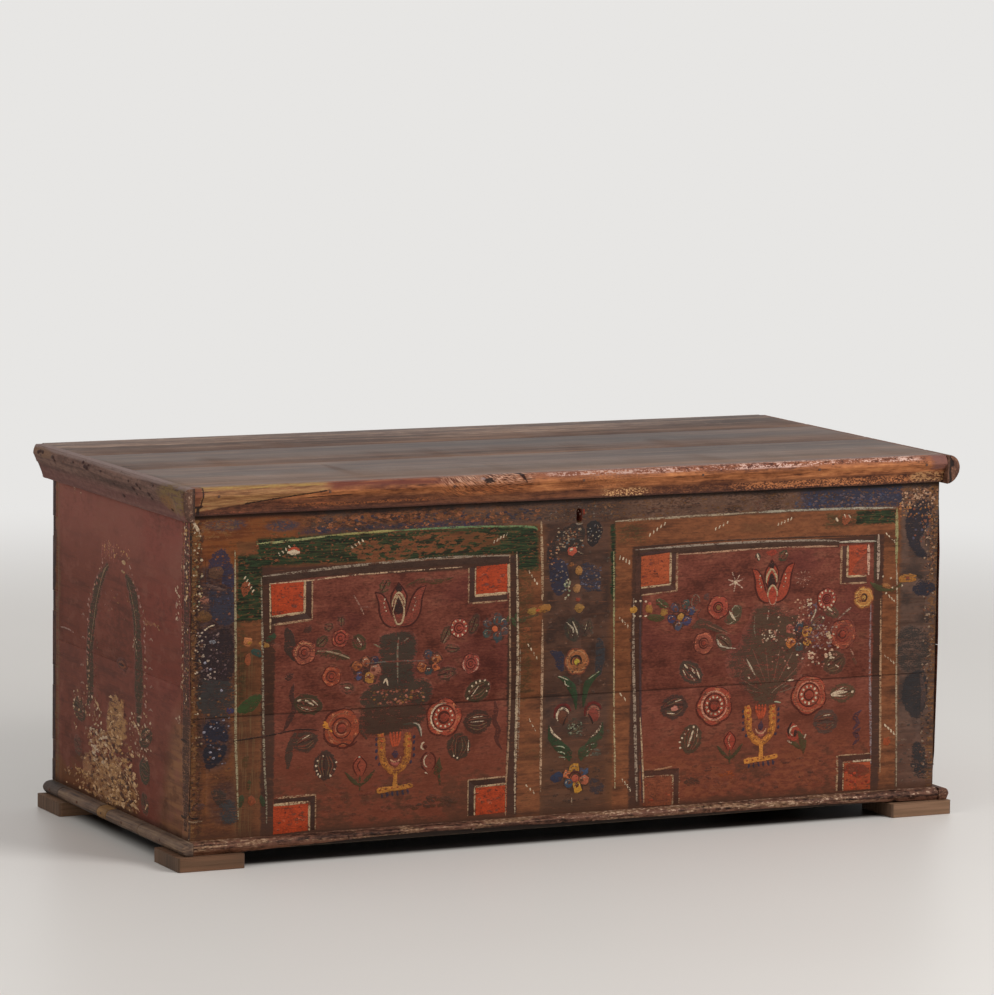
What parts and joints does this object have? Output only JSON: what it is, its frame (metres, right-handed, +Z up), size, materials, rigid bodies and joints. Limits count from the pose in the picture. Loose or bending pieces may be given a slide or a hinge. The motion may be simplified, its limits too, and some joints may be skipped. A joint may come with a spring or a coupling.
{
  "type": "dowry chest",
  "caption": "Low painted pine chest with a hinged flat lid, rounded base moulding, block feet, an open till and an iron box lock behind a keyhole.",
  "frame": {"origin": "on the floor under the middle of the whole chest, feet and lid lip included", "axes": "+X to the right along the front, +Y to the back, +Z up"},
  "size_m": [1.3008, 0.625, 0.56],
  "materials": {
    "painted_front_wood": "worn oil and casein paint, red fields and dark green bands",
    "painted_end_wood": "dull red-brown paint, scraped bare in places",
    "bare_pine": "bare aged pine",
    "base_moulding_wood": "worn dark stain",
    "foot_wood": "planed, lightly oiled pine",
    "lid_wood": "weathered grey-brown pine",
    "lid_moulding_wood": "rubbed orange-brown varnish",
    "forged_iron": "hand-forged, dark and dull",
    "nail_iron": "hand-forged, dark and dull"
  },
  "bodies": {
    "body": {"front_upper_board": "painted_front_wood", "front_lower_board": "painted_front_wood", "left_end_upper_board": "painted_end_wood", "left_end_lower_board": "painted_end_wood", "right_end_upper_board": "painted_end_wood", "right_end_lower_board": "painted_end_wood", "back_upper_board": "bare_pine", "back_lower_board": "bare_pine", "bottom_board_front": "bare_pine", "bottom_board_middle": "bare_pine", "bottom_board_back": "bare_pine", "till_side_board": "bare_pine", "till_floor_board": "bare_pine", "base_moulding_front": "base_moulding_wood", "base_moulding_right": "base_moulding_wood", "base_moulding_left_front": "base_moulding_wood", "base_moulding_left_middle": "base_moulding_wood", "base_moulding_left_patch": "base_moulding_wood", "base_moulding_left_rear": "base_moulding_wood", "base_moulding_left_end": "base_moulding_wood", "front_left_foot": "foot_wood", "front_right_foot": "foot_wood", "back_left_foot": "foot_wood", "back_right_foot": "foot_wood", "left_hinge_back_strap": "forged_iron", "left_hinge_pin": "forged_iron", "right_hinge_back_strap": "forged_iron", "right_hinge_pin": "forged_iron", "lock_plate": "forged_iron", "lock_case": "forged_iron", "lock_spring": "forged_iron", "base_moulding_nails": "nail_iron", "bottom_board_nails": "nail_iron", "foot_nails": "nail_iron", "hinge_back_nails": "nail_iron", "lock_nails": "nail_iron"},
    "lid": {"lid_board_front": "lid_wood", "lid_board_middle": "lid_wood", "lid_board_back": "lid_wood", "left_lid_batten": "lid_wood", "right_lid_batten": "lid_wood", "lid_front_moulding": "lid_moulding_wood", "left_hinge_lid_strap": "forged_iron", "right_hinge_lid_strap": "forged_iron", "lid_staple": "forged_iron", "lid_batten_nails": "nail_iron", "lid_moulding_nails": "nail_iron", "hinge_lid_nails": "nail_iron", "staple_nails": "nail_iron"},
    "bolt": {"lock_bolt": "forged_iron"}
  },
  "joints": [
    {"name": "lid_hinge", "type": "hinge", "parent": "body", "child": "lid", "pos_m": [0, 0.2745, 0.528], "axis": [-1, 0, 0], "range_deg": [0, 100]},
    {"name": "lock_bolt_slide", "type": "slide", "parent": "body", "child": "bolt", "axis": [-1, 0, 0], "range_m": [0, 0.012]}
  ]
}
